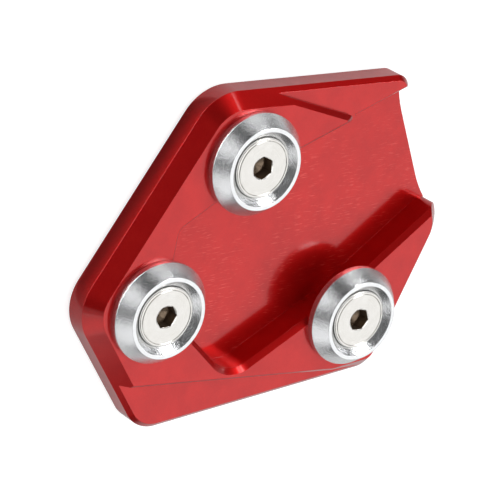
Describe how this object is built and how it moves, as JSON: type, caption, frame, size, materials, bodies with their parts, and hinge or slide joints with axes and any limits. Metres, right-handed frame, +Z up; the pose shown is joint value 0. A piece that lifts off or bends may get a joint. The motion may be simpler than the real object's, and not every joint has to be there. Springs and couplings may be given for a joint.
{
  "type": "side stand foot enlarger",
  "caption": "Milled, anodised foot plate that widens a motorcycle side stand, with an open-ended pocket for the stand's foot and conical clamp washers on countersunk bolts.",
  "frame": {"origin": "centre of the plate's bounding box, on its underside where it meets the ground", "axes": "+X along the line from the first bolt to the second, the long way of the plate; +Z up, out of the pocketed face"},
  "size_m": [0.0828, 0.0714, 0.012],
  "materials": {
    "anodised_red": "red anodised over a fine milled surface, glossy",
    "polished_washer": "turned and polished",
    "satin_bolt": "pale satin steel"
  },
  "bodies": {
    "root": {"plate": "anodised_red", "washer_1": "polished_washer", "washer_2": "polished_washer", "washer_3": "polished_washer", "bolt_1": "satin_bolt", "bolt_2": "satin_bolt", "bolt_3": "satin_bolt"}
  },
  "joints": []
}
